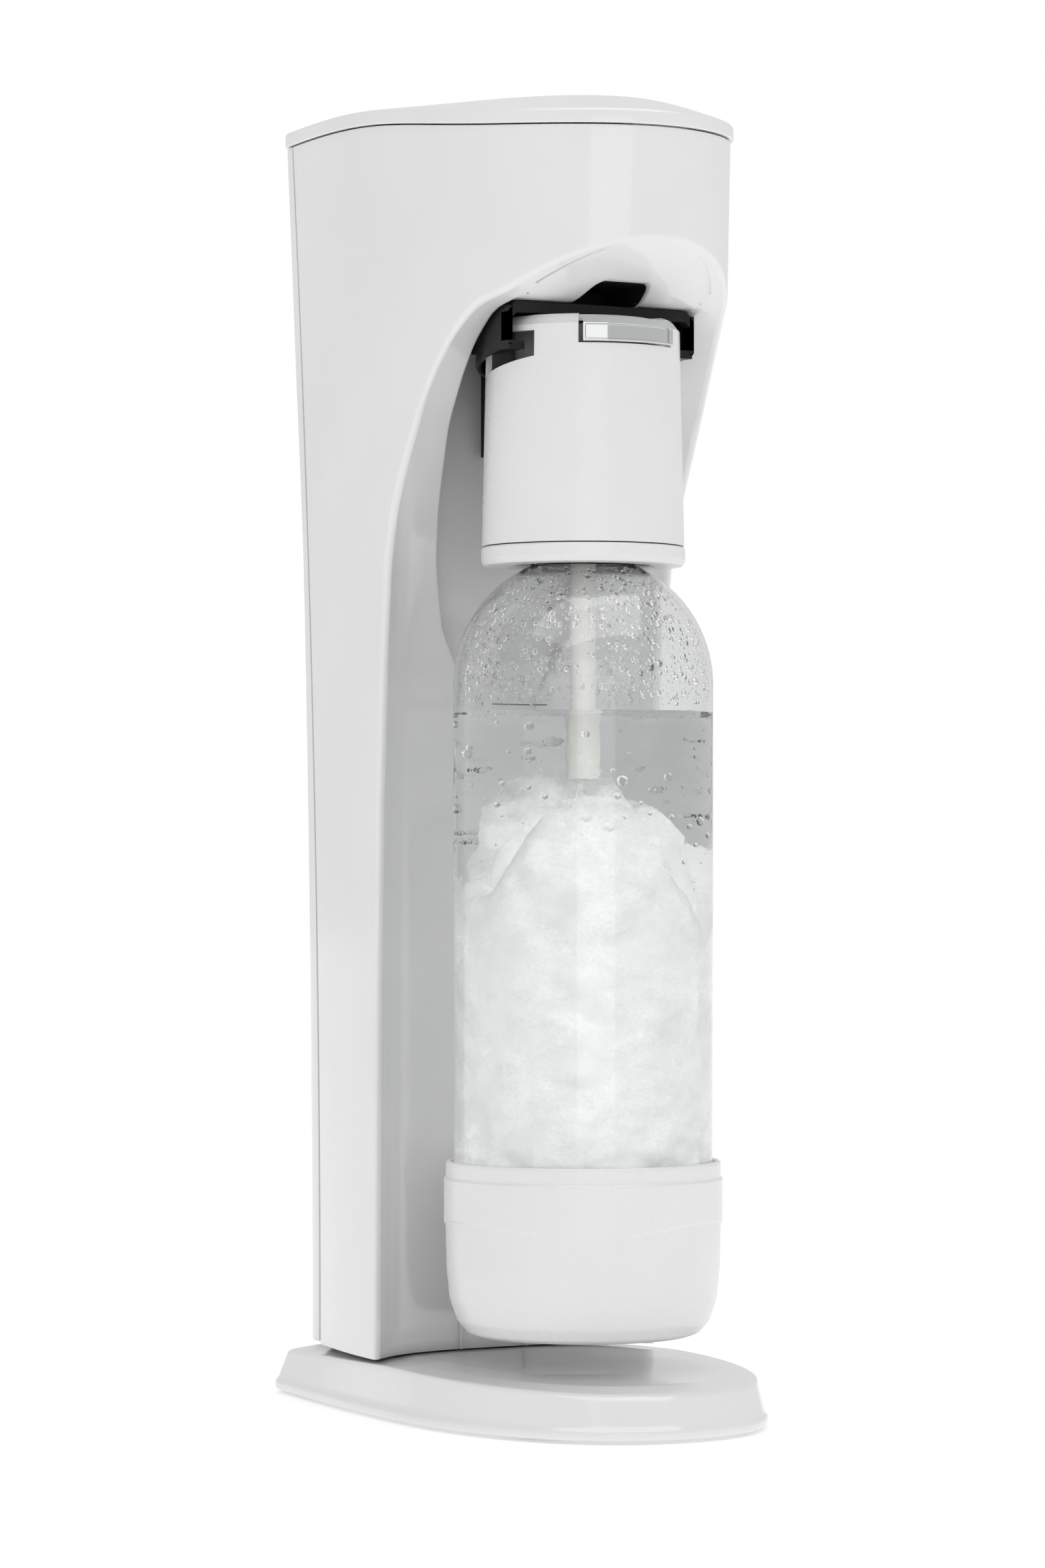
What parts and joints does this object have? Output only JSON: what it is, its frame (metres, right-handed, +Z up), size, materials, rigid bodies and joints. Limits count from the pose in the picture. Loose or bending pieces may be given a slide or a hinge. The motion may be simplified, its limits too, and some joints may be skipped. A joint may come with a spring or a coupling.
{
  "type": "soda carbonator",
  "caption": "Tall counter-top soda carbonator with an arched head, slide-in infuser, clear carbonating bottle, press button on top and gas cylinder behind a tilting rear cover.",
  "frame": {"origin": "centre of the footprint of the base, on the plane that the feet stand on", "axes": "+Z up, -Y is the machine's front, where the bottle stands, +X is the user's right"},
  "size_m": [0.116, 0.209, 0.4345],
  "materials": {
    "white_abs": "high-gloss white moulding",
    "black_plastic": "satin black moulding",
    "grey_plastic": "matt grey moulding",
    "chrome": "polished plating",
    "steel": "plain drawn steel",
    "brass": "turned",
    "seal_rubber": "matt",
    "clear_bottle": "clear blow-moulded PET",
    "natural_plastic": "natural translucent plastic",
    "zinc_casting": "die-cast, as cast",
    "cylinder_alloy": "brushed and lacquered"
  },
  "bodies": {
    "machine": {"base_plate": "white_abs", "foot_front_left": "seal_rubber", "foot_front_right": "seal_rubber", "foot_rear_left": "seal_rubber", "foot_rear_right": "seal_rubber", "body_shell": "white_abs", "front_fascia": "white_abs", "top_cover": "white_abs", "button_spring": "steel", "lever_pivot_pin": "steel", "valve_block": "zinc_casting", "safety_valve": "brass", "valve_gasket": "seal_rubber", "cylinder_collar": "black_plastic", "cylinder_pad": "seal_rubber", "chassis": "grey_plastic", "gas_tube": "natural_plastic", "gas_port": "brass", "carriage": "black_plastic", "carriage_screw_left": "steel", "carriage_screw_right": "steel"},
    "rear_cover": {"rear_cover": "white_abs"},
    "button": {"carbonating_button": "white_abs"},
    "press_lever": {"press_lever": "steel"},
    "valve_pin": {"valve_pin": "steel"},
    "gas_cylinder": {"gas_cylinder": "cylinder_alloy", "cylinder_valve": "brass"},
    "infuser": {"infuser_sleeve": "white_abs", "infuser_ring": "white_abs", "infuser_core": "grey_plastic", "bottle_gasket": "seal_rubber", "dip_tube": "natural_plastic"},
    "release_lever": {"release_lever": "chrome"},
    "vent_plunger": {"vent_plunger": "steel"},
    "bottle": {"bottle": "clear_bottle", "bottle_cup": "white_abs"}
  },
  "joints": [
    {"name": "rear_cover_tilt", "type": "hinge", "parent": "machine", "child": "rear_cover", "pos_m": [0, 0.0915, 0.0193], "axis": [-1, 0, 0], "range_deg": [0, 35]},
    {"name": "button_press", "type": "slide", "parent": "machine", "child": "button", "axis": [0, 0, -1], "range_m": [0, 0.006], "stiffness_N_per_m": 400, "springref_m": -0.004, "deforming": ["button_spring"]},
    {"name": "press_lever_swing", "type": "hinge", "parent": "machine", "child": "press_lever", "pos_m": [0, 0.0715, 0.4075], "axis": [1, 0, 0], "range_deg": [0, 4.5]},
    {"name": "valve_pin_drop", "type": "slide", "parent": "machine", "child": "valve_pin", "axis": [0, 0, -1], "range_m": [0, 0.0012]},
    {"name": "gas_cylinder_unscrew", "type": "hinge", "parent": "machine", "child": "gas_cylinder", "pos_m": [0, 0.058, 0.2], "axis": [0, 0, 1], "range_deg": [-540, 0]},
    {"name": "infuser_slide", "type": "slide", "parent": "machine", "child": "infuser", "axis": [0, -1, 0], "range_m": [0, 0.08]},
    {"name": "release_lever_flip", "type": "hinge", "parent": "infuser", "child": "release_lever", "pos_m": [0, -0.064, 0.3568], "axis": [-1, 0, 0], "range_deg": [0, 70], "stiffness_Nm_per_rad": 0.004, "springref_deg": -11.46},
    {"name": "vent_plunger_lift", "type": "slide", "parent": "infuser", "child": "vent_plunger", "axis": [0, 0, 1], "range_m": [0, 0.0012]},
    {"name": "bottle_unscrew", "type": "hinge", "parent": "infuser", "child": "bottle", "pos_m": [0, -0.0355, 0.29], "axis": [0, 0, 1], "range_deg": [-540, 0]}
  ],
  "couplings": [
    {"joint": "press_lever_swing", "follows": "button_press", "rad_per_m": 12.7},
    {"joint": "valve_pin_drop", "follows": "button_press", "ratio": 0.19},
    {"joint": "release_lever_flip", "follows": "vent_plunger_lift", "rad_per_m": 1018}
  ]
}
